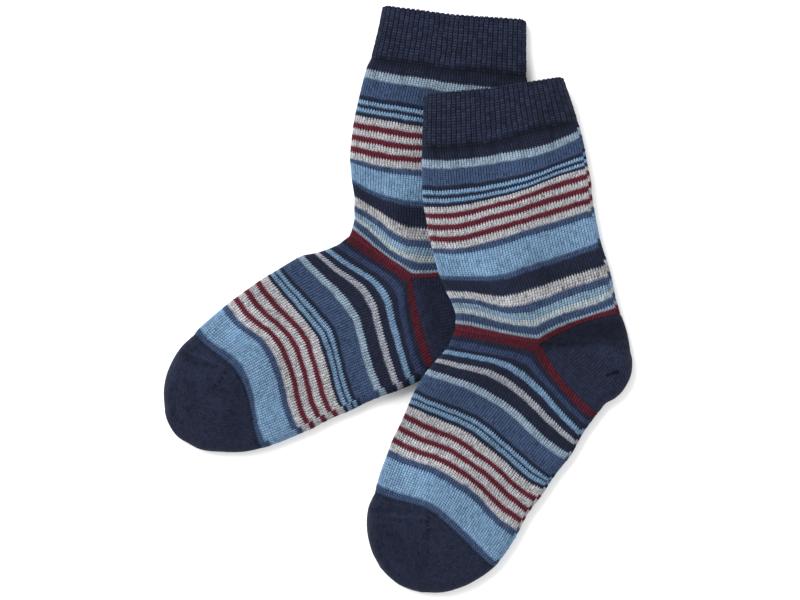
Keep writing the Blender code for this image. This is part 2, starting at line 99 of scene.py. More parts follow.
# %% The rear sock's table
REAR = Sock(
    name="rear",
    leg=course_rows(
        (0, -6.8, 127, 24.5, 122.8, 55.3, 120.8, 9.6),
        (15, -9.1, 115.5, 23.3, 111, 55.3, 108.5, 9.6),
        (30, -12.1, 104, 22, 99, 55.5, 96, 9.6),
        (36, -14, 99, 21, 93, 56, 90.2, 9.4, 0.2, 0.5, -0.2),
        (60, -18.9, 78.5, 16.5, 72.5, 53, 71, 9.8, 0.4),
        (73, -20.4, 67.5, 15, 62, 51.5, 61, 9.9, 1, -0.2),
        (81, -20.9, 61, 14.5, 55.5, 51, 54.5, 10, 1.5, 0, -0.1),
        (89, -20.5, 56, 14, 48.5, 50.5, 47, 10.1, 2.3, 0.8, 0.3),
        (97, -20, 51, 13.5, 41, 50.5, 39.5, 10.2, 3.1, 1.6),
        (105, -19, 44.5, 13, 30, 50.5, 32, 10.4, 2.7, 1.5, 0.8),
        (112, -19, 38, 10.5, 22, 50, 25, 10.6, 2.2, 1.3, 1.1),
        (118, -19, 34.5, 8, 15.5, 49, 19.5, 10.8, 1.6, 1, 0.6),
        (124, -20, 30.5, 6, 11, 47, 14, 10.9, 0.5, 0.4),
        (127, -21, 27.5, 5.5, 9.5, 46, 11.5, 11),
    ),
    foot=course_rows(
        (127, -21, 27.5, 5.5, 9.5, 16, -31, 11, 0, 1.5),
        (131, -23.4, 25.7, 3.5, 6.5, 13.5, -32.5, 11.1, -0.1, 2.3, -0.4, -0.2),
        (136, -25.9, 23.8, 0.5, 2.5, 10, -34.5, 11.3, -1.4, 1.6, -0.8, -0.2),
        (142, -30.3, 21.9, -3.5, -1.5, 6, -36.5, 11.4, -2.3, 0.5, -1, 0.2),
        (150, -34.8, 20.4, -9.5, -4.5, 0.5, -39, 11.4, -2.2, 0.6, -1, 0.1),
        (161, -42.1, 18.8, -18, -7.5, -7, -41.5, 11.4, -0.9, 0.9, -0.3, -0.2),
        (167, -46.7, 16.2, -23, -10, -13, -44, 11.4, -0.5, 0.4, -0.2, -0.2),
        (173, -50.7, 13.8, -28.1, -12.3, -17.2, -46.1, 11.4, -0.1, 0.8, -0.3, -0.5),
        (179, -54.5, 11.5, -32.6, -15.3, -21.3, -48.1, 11.4, -0.2, 0.5, -0.2, -0.7),
        (185, -58, 9.5, -36.3, -17.4, -25.3, -49.6, 11.4, 0, 0.9, -0.6, -0.4),
        (193, -64.5, 5, -42.8, -19.9, -31.9, -52.7, 11.4, 0.1, 0.7, -0.7, -0.4),
        (200, -70, 1, -48.2, -23.9, -37.8, -55.9, 11.4, -0.6, 0.5, -1.1, -0.5),
        (206, -74.5, -2.5, -53, -27, -43, -58, 11.4, -0.8, 0.6, -1.1, -0.4),
        (214, -80.5, -7.5, -60, -31, -50, -61, 11.2, -1.5, 0.6, -1.3, -0.3),
        (221, -86.4, -12.8, -65.5, -34, -57, -63.5, 11, -1, 0.8, -1.3, -0.8),
        (223, -87.8, -14.8, -67, -35, -59, -64, 11, -1, 0, -0.7, -0.5),
        (231, -94, -21, -73, -39.5, -67, -65.5, 10.6),
        (240, -99, -30, -80, -45, -76, -65.5, 10),
        (249, -101, -39, -87, -48.5, -85, -64.5, 9),
        (256, -100.5, -48.5, -92, -53, -92, -61, 7.4),
    ),
    toe_edge=course_rows((262, -100.5, -48.5, -97.7, -55.6, -92, -61, 7.4, 0.4, 0.6))[0],
    heel=(
        HeelRay(0, 40.5), HeelRay(0.18, 41), HeelRay(0.35, 41.8, 1.2), HeelRay(0.43, 43),
        HeelRay(0.55, 43.8), HeelRay(0.68, 43.4), HeelRay(0.78, 42.4), HeelRay(0.88, 41),
        HeelRay(1, 41.9),
    ),
    # The creases are also painted into the colour, shade in troughs and light on ridges. The long
    # trough along the front sock's edge, with the ridge beside it, the broad one on the instep and
    # the pair on the toe are there mostly for that painted light and shade.
    creases=crease_rows(
        (5, 0.9, (-22, 40), (2, 30)), (6, 1.2, (-22, 24), (-6, 19)), (3, -0.6, (-14, 34), (8, 22)),
        (5, 1.9, (5.5, 38), (7.5, 26), (14, 7), (19, -14)),
        (5, -1, (-5, 37), (-4.5, 26), (-1, 17)), (1.3, 0.6, (-10, 99), (-9, 92)),
        (1.6, 0.5, (2, 99.5), (2.5, 90.5)), (1.2, 0.7, (13, 98), (12.5, 91.5)),
        (1.4, 0.6, (29, 97.5), (30, 92)), (1.5, 0.6, (44, 97), (43, 90)),
        (5, -1.4, (-70, -16), (-65, -6)), (8, 0.9, (-60, 1), (-42, 11)),
        (7, 0.8, (-52, -30), (-44, -44)), (2.5, 0.8, (-91, -23), (-88, -27)),
        (0.7, 0.8, (-87, -27.5), (-81.8, -28.4)), (2.5, -0.7, (-83, -24.5), (-80.5, -26)),
        (5, -1, (-96, -34), (-86, -31)), (5, 1.2, (-68, -41), (-70, -58)),
    ),
    hollows=crease_rows(
        (6, 0.7, (-10, 60), (30, 66)), (5, 0.8, (-40, 5), (-22, -25)),
        (4, 0.5, (-70, -15), (-60, -40)),
    ),
    gore=((-73.3, -29.8), (-76.7, -35.4), (-85.2, -43.5), (-90.4, -48.3)),
    linking=((-94.7, -21.2), (-84, -25), (-73.3, -29.8)),
)

# %% [markdown]
# The front sock lies on the rear one, so its leg is higher than its foot. That lift isn't in the
# table: it is worked out further down from the rear sock's outline.

# %% The front sock's table
FRONT = Sock(
    name="front",
    leg=course_rows(
        (0, 11, 88.5, 41, 91.2, 71, 96.2, 9.6),
        (30, 10, 65.5, 42.5, 68, 77.5, 77, 9.6, 1.5),
        (36, 10, 60, 44, 62.5, 78.5, 73, 9.4, 1.5, 2),
        (45, 10, 52.5, 45, 55, 80, 67, 9.5, 1.2, 1.5, -0.2),
        (56, 10.6, 42.5, 46.1, 46.2, 81.5, 58.4, 9.7, 1.5, 0, -0.3, 0.3),
        (60, 11, 39, 46.5, 44, 82, 56, 9.8, 1.6, -0.4, -0.4, 0.3),
        (66, 12, 34.5, 47, 40, 83, 51.5, 9.9, 1.8, -0.1, -0.5, 0.1),
        (73, 13, 28.5, 48, 34.5, 83.5, 45, 9.9, 1.9, -0.1, -0.4, 0.2),
        (81, 14.5, 22, 49.5, 28, 84.5, 38.5, 10, 2, -0.1, -0.2, 0.1),
        (89, 16, 16, 51, 20, 86, 31, 10.1, 2.2, 0, 0.1),
        (97, 18, 9.5, 53.2, 11.9, 87.5, 24, 10.2, 2, 0.3, 0.3, -0.2),
        (105, 20.5, 3.5, 56, 3.5, 90.5, 15, 10.4, 1.8, -0.1, 0.9, -0.1),
        (112, 23, -1.5, 57.4, -5.5, 92.5, 7, 10.6, 0.8, -0.6, 1.1),
        (118, 24.5, -6, 58.5, -12, 93.5, 1.5, 10.8, 0.3, -0.2, 0.6, -0.5),
        (124, 24.5, -10.5, 60, -17, 95, -3.5, 10.9, 0.2, -1.3, 0.3, -0.1),
        (127, 24.5, -13, 60.5, -19, 95.5, -5.5, 11, 0, -1.9),
    ),
    foot=course_rows(
        (127, 24.5, -13, 60.5, -19, 85.5, -49.5, 11, 0, 2.4),
        (131, 23.2, -15.7, 58, -23.4, 83.3, -52.3, 11.1, -0.8, 1.4),
        (136, 21.9, -18.9, 56, -27, 82, -54, 11.3, -0.6, 0.8, -0.4),
        (142, 19.9, -21.9, 53.5, -31.5, 79.3, -57.9, 11.4, -2, -0.3, -0.4, -0.3),
        (150, 16.5, -25.7, 50.5, -37.5, 77.1, -62.1, 11.4, -2.1, 0.1, -0.5, -0.2),
        (161, 12.2, -30.6, 46, -45.5, 74, -67.5, 11.4, -1.6, 1, -0.2, -0.6),
        (167, 9.3, -35, 42.5, -50, 69.5, -73, 11.4, -1.2, 0.8, -0.4, -0.4),
        (173, 7, -39, 39, -54.5, 66.5, -77, 11.4, -0.7, 0.5, -0.6, -0.3),
        (179, 5, -43.5, 36.5, -58.5, 64.5, -80, 11.4, -1, 1, -0.4, -0.5),
        (185, 3.5, -47, 34, -63, 62, -84, 11.4, -0.7, 0.7, -0.5, -0.6),
        (193, 0.5, -54, 30.6, -68.7, 57, -90.5, 11.4, -0.5, -0.3, -0.5, -0.3),
        (200, -2.5, -60, 28.5, -74.5, 54, -95.5, 11.4, -0.6, 0.6, -0.5, -0.4),
        (206, -4.5, -65.5, 26, -79.5, 51.5, -100.5, 11.4, -0.9, 0.2, -0.5, -0.9),
        (214, -7.5, -73.5, 22.3, -86.9, 47, -108, 11.2, -1.2, 0.3, -0.6, -0.3),
        (221, -9.5, -80, 19.2, -92.2, 42.2, -114.2, 11, -0.7, -0.2, -1, -0.2),
        (223, -10.1, -82.8, 17.8, -93.6, 41.2, -115.3, 11, -1.1, 0, -0.8, -0.2),
        (231, -13, -90, 15.5, -98.5, 35.5, -119.5, 10.6),
        (240, -13.5, -99, 11, -106, 28, -123.5, 10),
        (249, -11.5, -108, 6.5, -113, 19, -126, 9),
        (256, -8, -115, 2.5, -119, 10, -126, 7.4),
    ),
    toe_edge=course_rows((262, -8, -115, 0.1, -122.6, 10, -126, 7.4, 0.4, 0.4))[0],
    heel=(
        HeelRay(0, 37.5), HeelRay(0.18, 38.3), HeelRay(0.35, 39.5, 0.6), HeelRay(0.43, 40.85),
        HeelRay(0.55, 41.9), HeelRay(0.68, 41.6), HeelRay(0.78, 40.5), HeelRay(0.88, 38.6),
        HeelRay(1, 39.4),
    ),
    # The creases are painted into the colour in the same way. The wide ones across the heel next
    # to the leg and the hollow on the toe are there mostly for their painted shade.
    creases=crease_rows(
        (5, 1, (22, -9), (42, -15)), (6, 0.9, (66, 8), (92, 12)), (1.2, 0.7, (16, 65), (17, 58.5)),
        (1.6, 0.6, (24.5, 66), (25, 57)), (1.1, 0.7, (31, 66.5), (32.5, 59)),
        (1.4, 0.5, (41, 67), (42.5, 62.5)), (1.5, 0.6, (52, 69.5), (53.5, 63)),
        (1.3, 0.7, (66, 74), (66.5, 66)), (9, -1.1, (58, 51), (82, 57)),
        (4, -0.7, (24, 20), (38, 12)), (6, -1.4, (6, -64), (9, -84)),
        (7, 0.8, (36, -62), (44, -82)), (5, 2.6, (66, -18), (80, -15.5), (98, -13.5)),
        (1.1, 0.5, (61.5, -19.5), (74.5, -19.5), (86, -18.5), (99, -21)),
        (0.8, 0.5, (84, -15.5), (92, -17), (99.5, -17)), (0.7, -0.6, (63.5, -17), (67.5, -19.5)),
        (0.8, -0.5, (66, -22.5), (70.5, -21.5)), (0.7, 1.6, (90.2, -32.6), (94.6, -31.2)),
        (3, -0.6, (86, -34.5), (92, -34)), (4, -1.2, (88, -24), (94.5, -27)),
        (4.5, 1, (74, -12.5), (97, -8.5)), (7, 1.4, (-3, -104), (8, -113)),
        (1.3, 0.6, (-13, -91), (-4, -91.5)), (0.8, 0.4, (-4, -86), (-2, -90)),
        (0.8, 0.4, (3, -85.5), (4, -90)),
    ),
    hollows=crease_rows(
        (6, 0.7, (30, 40), (66, 48)), (3, 0.8, (66, -24), (90, -20)),
        (6, 0.8, (20, -40), (56, -62)), (4, 0.5, (0, -84), (26, -100)),
    ),
    gore=((12.8, -93), (12.4, -101.2), (13.6, -109.8), (8.5, -118.4)),
    linking=((-13.4, -91), (-10.4, -92.3), (-4, -93), (4, -93.7), (12.6, -93.9)),
)

# %% [markdown]
# ## From a stitch to a place
#
# Every vertex of the cloth is found in the same way as on a knitting chart: its course gives a
# line across the sock, and its wale gives the place along that line. NumPy works on all of a
# piece's vertices at once, which keeps a shell of eighty thousand of them quick to make.
#
# The table's courses are joined by smooth curves that pass through each of them.

# %% Courses between the table's courses
def smooth_rows(rows, numbers):
    """Values at any numbers, on smooth curves through rows whose first column is a number."""
    rows = np.array(rows, float)
    last = len(rows) - 1
    index = np.clip(np.searchsorted(rows[:, 0], numbers, side="left") - 1, 0, last - 1)
    before, low = rows[np.maximum(index - 1, 0)], rows[index]
    high, after = rows[index + 1], rows[np.minimum(index + 2, last)]
    span = high[..., :1] - low[..., :1]
    part = (np.asarray(numbers)[..., None] - low[..., :1]) / span
    slope_low = (high - before) / (high[..., :1] - before[..., :1]) * span
    slope_high = (after - low) / (after[..., :1] - low[..., :1]) * span
    return (low * (2 * part ** 3 - 3 * part ** 2 + 1)
            + slope_low * (part ** 3 - 2 * part ** 2 + part)
            + high * (3 * part ** 2 - 2 * part ** 3) + slope_high * (part ** 3 - part ** 2))


def flat_row(course):
    """A course's numbers in one row, so that they can be interpolated together."""
    return (course.number, *course.front, *course.middle, *course.back, *course[4:])


def lines_at(table, numbers):
    """For each course number: its front, middle and back in plan, its bends, and its height."""
    values = smooth_rows([flat_row(course) for course in table], numbers)
    single = dict(zip(Course._fields[4:], np.moveaxis(values[..., 7:], -1, 0)))
    return {"front": values[..., 1:3], "middle": values[..., 3:5], "back": values[..., 5:7],
            **single}


ankle = lines_at(FRONT.leg, np.array([LEG_END]))
print("the front sock's heel gore starts at", ankle["middle"][0].round(1), "mm")

# %% [markdown]
# The front sock rests on the rear one, and sinks to the table beyond its edge. Whether a place is
# inside the other sock's outline, and how far away, is the usual nearest-segment test.

# %% How far a place is from the other sock
def smooth_step(value):
    value = np.clip(value, 0.0, 1.0)
    return value * value * (3.0 - 2.0 * value)


def heel_edge(sock, turn, reach):
    """Places at a given reach from the heel's corner, turned from the leg (0) to the sole (1)."""
    corner = np.array(sock.leg[-1].middle)
    to_leg = np.array(sock.leg[-1].back) - corner
    to_sole = np.array(sock.foot[0].back) - corner
    start, end = (math.atan2(*way[::-1]) for way in (to_leg, to_sole))
    angle = start + (end - start) * np.asarray(turn)
    return corner + np.stack([np.cos(angle), np.sin(angle)], -1) * np.asarray(reach)[..., None]


def outline(sock):
    """The sock's edge in plan: down its front, round the toe, and up the sole, heel and calf."""
    front = [course.front for course in sock.leg + sock.foot[1:]]
    sole = [course.back for course in reversed(sock.foot)]
    heel = [tuple(heel_edge(sock, ray.turn, ray.reach)) for ray in reversed(sock.heel[1:-1])]
    calf = [course.back for course in reversed(sock.leg)]
    edge = front + [sock.toe_edge.middle] + sole + heel + calf
    return np.array([place for place, after in zip(edge, edge[1:] + edge[:1]) if place != after])


def nearest_on_lines(places, starts, ends):
    """The distance from each place to the nearest of some straight lines."""
    way = ends - starts
    offset = places[..., None, :] - starts
    part = np.clip((offset * way).sum(-1) / (way * way).sum(-1), 0.0, 1.0)
    return np.linalg.norm(offset - part[..., None] * way, axis=-1).min(-1)


def distance_from(places, line):
    """The distance from each place to a line through some corners."""
    return nearest_on_lines(places, np.array(line[:-1]), np.array(line[1:]))


def distance_outside(places, edge):
    """How far each place lies outside an outline, negative inside it."""
    ends = np.roll(edge, -1, axis=0)
    rises = (edge[:, 1] > places[..., 1:]) != (ends[:, 1] > places[..., 1:])
    climb = np.where(edge[:, 1] == ends[:, 1], 1.0, ends[:, 1] - edge[:, 1])
    crossing = edge[:, 0] + (ends[:, 0] - edge[:, 0]) * (places[..., 1:] - edge[:, 1]) / climb
    inside = (rises & (places[..., :1] < crossing)).sum(-1) % 2 == 1
    distance = nearest_on_lines(places, edge, ends)
    return np.where(inside, -distance, distance)


REAR_OUTLINE, FRONT_OUTLINE = outline(REAR), outline(FRONT)
print("outline corners:", len(REAR_OUTLINE), "rear,", len(FRONT_OUTLINE), "front")

# %% [markdown]
# Now the height. The flattened tube turns over at its two folds with a small radius, its upper
# side is a little crowned by the air inside, and the creases press that side down or lift it.
# `inset` is how far a vertex lies below the outer surface, measured into the wall, so the same
# function places the tops of the stitches, the valleys between them and the inner skin.

# %% The surface of a flattened tube
FOLD_RADIUS = 4.5
FOLD_EXTRA = FOLD_RADIUS * (math.pi / 2 - 1)    # what the turn adds to the way round the fold
LAYER_GAP = 0.3                 # between the two socks where one lies on the other
PRESSED_HEIGHT = 2 * FOLD_RADIUS
DEEPEST_CREASE = 1.0            # below the pressed height
DRAPE_START, DRAPE_RUN = 1.5, 26.0
PRESS_RUN = 12.0


def bell(distance, width):
    """1 at a distance of 0, and next to nothing from twice the width on."""
    return np.exp(-(distance / width) ** 2)


def plan_places(lines, across):
    """Places in plan at distances across from each course's middle, negative to the front."""
    to_back = across > 0
    edge = np.where(to_back[..., None], lines["back"], lines["front"])
    chord = edge - lines["middle"]
    length = np.linalg.norm(chord, axis=-1)
    share = np.abs(across) / length
    facing = np.where(to_back, 1.0, -1.0)[..., None]
    towards_toe = np.stack([chord[..., 1], -chord[..., 0]], -1) / length[..., None] * facing
    bow = np.where(to_back, lines["bow_back"], lines["bow_front"])
    sway = np.where(to_back, lines["sway_back"], lines["sway_front"])
    on_chord = np.minimum(share, 1.0)
    bend = 4.0 * bow * on_chord * (1.0 - on_chord) + sway * np.sin(2 * math.pi * on_chord)
    return lines["middle"] + chord * share[..., None] + towards_toe * bend[..., None]


def crease_depth(creases, places, depth_of=lambda crease: crease.depth):
    depth = np.zeros(places.shape[:-1])
    for crease in creases:
        distance = distance_from(places, crease.line)
        depth += depth_of(crease) * bell(distance, crease.spread)
    return depth


def cloth_points(sock, lines, wales, inset, sink=0.0, closing=0.0):
    """Points of the cloth in millimetres, for arrays of courses' lines and wales.

    sink is the depth of a crease in the upper side. closing is an angle, and runs to a quarter
    turn in front of the toes, where the upper and the lower side meet.
    """
    quarter = np.minimum(wales // QUARTER, 3)
    part = wales / QUARTER - quarter
    from_middle = np.where((quarter == 0) | (quarter == 2), 1.0 - part, part)
    to_back = (quarter == 1) | (quarter == 2)
    above = np.where(quarter < 2, 1.0, -1.0)
    edge = np.where(to_back[:, None], lines["back"], lines["front"])
    length = np.linalg.norm(edge - lines["middle"], axis=-1)
    radius = np.minimum(FOLD_RADIUS, lines["height"] / 2)
    flat = length - radius
    reach = from_middle * (flat + radius * math.pi / 2)
    turned = np.maximum(np.maximum(reach - flat, 0.0) / radius, closing)
    folded = reach > flat
    across = np.where(folded, flat + (radius - inset) * np.sin(turned), reach)
    places = plan_places(lines, np.where(to_back, across, -across))
    if np.any(closing):
        places = np.where(folded[:, None], places,
                          places + toe_reach(sock, places, to_back, reach / flat, inset, closing))
    share = np.minimum(across / length, 1.0)
    upper = (1 + above * np.cos(turned)) / 2
    open_share = np.cos(closing)
    crown = (lines["height"] - 2 * radius) * np.cos(math.pi / 2 * share) * open_share
    kept, lift = 1.0, 0.0
    if sock is FRONT:
        past_edge = distance_outside(places, REAR_OUTLINE) - DRAPE_START
        lift = (PRESSED_HEIGHT + LAYER_GAP) * smooth_step(1.0 - past_edge / DRAPE_RUN)
    else:
        kept = smooth_step(distance_outside(places, FRONT_OUTLINE) / PRESS_RUN)
    hollow = crease_depth(sock.creases, places) + sink * np.sin(math.pi * share)
    deepest = np.maximum(lines["height"] - PRESSED_HEIGHT + DEEPEST_CREASE, 0.0)
    hollow = np.minimum(hollow * open_share, deepest)
    raised = crease_depth(sock.hollows, places) * open_share
    height = radius + (radius - inset) * above * np.cos(turned)
    height = height + upper * kept * (crown - hollow) + (1 - upper) * raised + lift
    return np.concatenate([places, height[:, None]], -1)


def toe_reach(sock, places, to_back, share, inset, closing):
    """How far the toe's last course reaches ahead while it turns over to the other side."""
    edge = lines_at([sock.foot[-1], sock.toe_edge], np.full(len(places), sock.toe_edge.number))
    end = np.where(to_back[:, None], edge["back"], edge["front"])
    across = np.linalg.norm(end - edge["middle"], axis=-1) * share
    way = plan_places(edge, np.where(to_back, across, -across)) - places
    length = np.linalg.norm(way, axis=-1)
    return way * ((1.0 - inset / length) * np.sin(closing))[:, None]


# %% [markdown]
# ## A piece of cloth from a grid
#
# Each piece starts as a flat grid, added at the size to which it is knitted. The grid's columns
# follow the wales. Its rows follow the courses down the outside, turn over at the end and come
# back on the inside, so that the cloth has its real thickness and open ends show their edge.
# Where the grid's sides meet, merging the doubled vertices closes the tube.

# %% Adding and closing a grid
KNIT_WALL = 1.4                 # plain knit, with floats of the other yarns behind it
RIB_WALL = 1.9                  # double welt of the cuff, measured over its ribs
INNER_ROWS = 10


def add_grid(sock, part, columns, rows, size):
    """A flat piece of knitting, its size in millimetres, and its vertices' columns and rows."""
    steps = len(columns) - 1, len(rows) - 1
    bpy.ops.object.select_all(action="DESELECT")
    bpy.ops.mesh.primitive_grid_add(x_subdivisions=steps[0], y_subdivisions=steps[1], size=1.0)
    bpy.ops.transform.resize(value=(size[0] * MM, size[1] * MM, 1.0))
    bpy.ops.object.transform_apply(location=True, rotation=True, scale=True)
    piece = bpy.context.object
    piece.name = piece.data.name = f"knitted_{sock.name}_{part}"
    flat = np.empty(len(piece.data.vertices) * 3)
    piece.data.vertices.foreach_get("co", flat)
    shares = flat.reshape(-1, 3)[:, :2] / MM / size + 0.5
    return piece, *np.rint(shares * steps).astype(int).T


def share_closing_values(column, row, *values):
    """Gives the last column and row of a closed grid the values of the first ones."""
    shared = []
    for value in values:
        table = np.empty((row.max() + 1, column.max() + 1))
        table[row, column] = value
        table[:, -1] = table[:, 0]
        table[-1] = table[0]
        shared.append(table[row, column])
    return shared


def draw_knit_map(piece, here, beyond=None, past=None):
    """Writes each face corner's wale and course into the piece's own UV map.

    here holds the vertices' wales and courses. Beyond a gore the cloth is counted in another way:
    faces whose vertices have a mean of past above 0 take beyond.
    """
    corners = np.empty(len(piece.data.loops), int)
    piece.data.loops.foreach_get("vertex_index", corners)
    values = np.stack(here, -1)[corners]
    if beyond:
        face_past = past[corners].reshape(-1, 4).mean(axis=1).repeat(4) > 0
        values = np.where(face_past[:, None], np.stack(beyond, -1)[corners], values)
    piece.data.uv_layers[0].name = "knit"
    piece.data.uv_layers["knit"].data.foreach_set("uv", (values / (WALES, LAST_COURSE)).ravel())


def keep_note(piece, name, values):
    """Keeps a value of each vertex under a name, for the finish to read."""
    piece.data.attributes.new(name, "FLOAT", "POINT").data.foreach_set("value", values)


def close_cloth(piece, points):
    """Moves the vertices onto the sock, in millimetres, and joins the edges that meet."""
    piece.data.vertices.foreach_set("co", (points * MM).ravel())
    piece.data.update()
    bpy.ops.object.mode_set(mode="EDIT")
    bpy.ops.mesh.select_all(action="SELECT")
    bpy.ops.mesh.remove_doubles(threshold=1e-6)
    bpy.ops.mesh.select_all(action="DESELECT")
    bpy.ops.mesh.select_non_manifold()
    bpy.ops.mesh.fill_holes(sides=0)
    bpy.ops.mesh.select_all(action="SELECT")
    bpy.ops.mesh.normals_make_consistent(inside=False)
    bpy.ops.object.mode_set(mode="OBJECT")
    bpy.ops.object.shade_smooth_by_angle(angle=math.radians(60))


def dress(piece, material, size, taper=None):
    """Gives a piece its finish and its body, hides the solid that it stands for, and prints how
    much of its cut size its surface covers.
    """
    piece.data.materials.clear()
    piece.data.materials.append(material)
    flat = [side * MM for side in size]
    area = taper and taper * flat[0] * flat[1]
    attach(piece, "root")
    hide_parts(piece.name.replace("knitted_", ""))
    surface = sum(face.area for face in piece.data.polygons)
    share = surface / 2 / (area or flat[0] * flat[1])
    print(f"{piece.name}: {len(piece.data.polygons)} faces, area share {share:.2f}")

# %% [markdown]
# ## Yarn colours
#
# The machine changes yarn at the end of a course, so a stripe is a number of courses of one
# colour. The yarns differ in more than colour: the grey one is a melange with dark fibres in it,
# the blue ones show specks of the navy yarn that floats behind them, and the palest ones were
# knitted from two shades together. `traits` holds those three amounts.
#
# Colours are written as a screen shows them and turned into the linear values that shaders take.

# %% Yarns
Yarn = namedtuple("Yarn", "colour melange specks mottle")


def linear(colour):
    """A colour from 0 to 255 a channel, as the shader's linear values."""
    shown = np.array(colour, float) / 255
    return tuple(np.where(shown < 0.04045, shown / 12.92, ((shown + 0.055) / 1.055) ** 2.4))


YARNS = {
    "navy": Yarn((28, 33, 50), 0.0, 0.1, 0.4),
    "pocket navy": Yarn((27, 32, 49), 0.0, 0.5, 0.7),
    "dusk": Yarn((46, 57, 86), 0.0, 0.9, 0.5),
    "denim": Yarn((54, 70, 98), 0.0, 1.0, 0.6),
    "sky": Yarn((104, 133, 161), 0.0, 0.6, 0.6),
    "steel": Yarn((101, 129, 156), 0.1, 0.9, 0.8),
    "ice": Yarn((124, 141, 157), 0.1, 0.7, 0.9),
    "mottled": Yarn((113, 137, 156), 0.3, 0.7, 1.0),
    "mist": Yarn((148, 158, 163), 0.4, 0.6, 0.8),
    "grey": Yarn((159, 159, 163), 1.0, 0.4, 0.6),
    "haze": Yarn((139, 142, 152), 0.8, 0.5, 0.6),
    "red": Yarn((81, 28, 40), 0.0, 0.4, 0.4),
    "wine": Yarn((69, 23, 34), 0.0, 0.4, 0.4),
}
print("yarns:", ", ".join(YARNS))

# %% [markdown]
# The stripes, as pairs of a yarn and the course where it ends. A colour ramp with constant
# interpolation holds such a list as it is: one stop a stripe, with no blend between stripes.
# A leg has 26 stripes and a foot 25, and a ramp can hold 32 stops.

# %% Stripes
LEG_STRIPES = (
    ("navy", 35.5), ("ice", 39.5), ("denim", 48.5), ("navy", 50.5), ("sky", 52.5), ("navy", 54.5),
    ("sky", 56.5), ("navy", 58.5), ("grey", 62.1), ("red", 65.0), ("grey", 68.1), ("red", 71.0),
    ("grey", 74.1), ("red", 77.0), ("grey", 80.5), ("denim", 83.5), ("sky", 95.5),
    ("denim", 97.5), ("navy", 104.5), ("grey", 108.5), ("denim", 111.5), ("mottled", 114.5),
    ("mist", 117.5), ("denim", 121.5), ("ice", 123.5), ("red", 127.0),
)
FOOT_STRIPES = (
    ("wine", 130.1), ("navy", 133.2), ("dusk", 137.3), ("navy", 141.0), ("steel", 144.5),
    ("navy", 149.0), ("haze", 152.5), ("navy", 159.5), ("ice", 163.0), ("denim", 172.0),
    ("navy", 174.0), ("steel", 176.5), ("navy", 177.5), ("steel", 180.0), ("navy", 182.5),
    ("grey", 186.8), ("red", 189.5), ("grey", 192.8), ("red", 195.5), ("grey", 198.8),
    ("red", 201.5), ("grey", 205.0), ("denim", 208.0), ("sky", 220.0), ("denim", 223.0),
)
RIB_STRIPES = (("navy", CUFF_END),)
POCKET_STRIPES = (("pocket navy", LAST_COURSE),)
Tube = namedtuple("Tube", "part first last stripes seed")
TUBES = (Tube("leg", CUFF_END, LEG_END, LEG_STRIPES, 11),
         Tube("foot", LEG_END, FOOT_END, FOOT_STRIPES, 21))
print(len(LEG_STRIPES), "stripes on a leg,", len(FOOT_STRIPES), "on a foot")

# %% [markdown]
# ## Materials: the stitch
#
# The stitch itself is worked out once, in a node group that all the finishes share. From the
# map it takes the wale and the course, and gives the height of the yarn, the dark valley between
# two wales, the little hole at the foot of each stitch, and a random number for each stitch.
#
# Where a tube closes, the spiral of courses meets itself a few courses further on, and a step
# shows in the stripes. That wale is an input of the group, because it lies elsewhere on each
# sock.

# %% Small helpers for node trees
def feed(node, values):
    """Sets a node's inputs, by name or number, or links them to another node's outputs."""
    for name, value in values.items():
        if isinstance(value, bpy.types.NodeSocket):
            node.id_data.links.new(value, node.inputs[name])
        else:
            node.inputs[name].default_value = value


def add_node(tree, kind, values=None, **settings):
    node = tree.nodes.new(kind)
    for name, value in settings.items():
        setattr(node, name, value)
    feed(node, values or {})
    return node


def math_node(operation):
    """A function that adds a Math node to the tree of its values, and gives its result."""
    def add(*values):
        tree = next(value.id_data for value in values if isinstance(value, bpy.types.NodeSocket))
        node = add_node(tree, "ShaderNodeMath", dict(enumerate(values)), operation=operation)
        return node.outputs[0]
    return add


plus, minus, times, divided, times_plus = (math_node(operation) for operation in (
    "ADD", "SUBTRACT", "MULTIPLY", "DIVIDE", "MULTIPLY_ADD"))
sine, rounded_down, fraction, unsigned = (math_node(operation) for operation in (
    "SINE", "FLOOR", "FRACT", "ABSOLUTE"))
larger, is_above, is_below = (math_node(operation) for operation in (
    "MAXIMUM", "GREATER_THAN", "LESS_THAN"))


def ramp_up(value, start, end):
    """0 below start and 1 above end, with a soft step between."""
    node = add_node(value.id_data, "ShaderNodeMapRange", interpolation_type="SMOOTHSTEP")
    feed(node, {"Value": value, "From Min": start, "From Max": end})
    return node.outputs["Result"]


def new_group(name, inputs, outputs):
    """A node group with named sockets, each given as its name, kind and start value."""
    tree = bpy.data.node_groups.new(name, "ShaderNodeTree")
    for side, sockets in (("INPUT", inputs), ("OUTPUT", outputs)):
        for label, kind, *start in sockets:
            socket = tree.interface.new_socket(label, in_out=side, socket_type=kind)
            if start:
                socket.default_value = start[0]
    return tree, add_node(tree, "NodeGroupInput").outputs, add_node(tree, "NodeGroupOutput")


FLOAT, VECTOR, COLOUR = "NodeSocketFloat", "NodeSocketVector", "NodeSocketColor"
print("node helpers are ready")

# %% The stitch group
STEP_COURSES = 1.6              # how much earlier the stripes come past the step


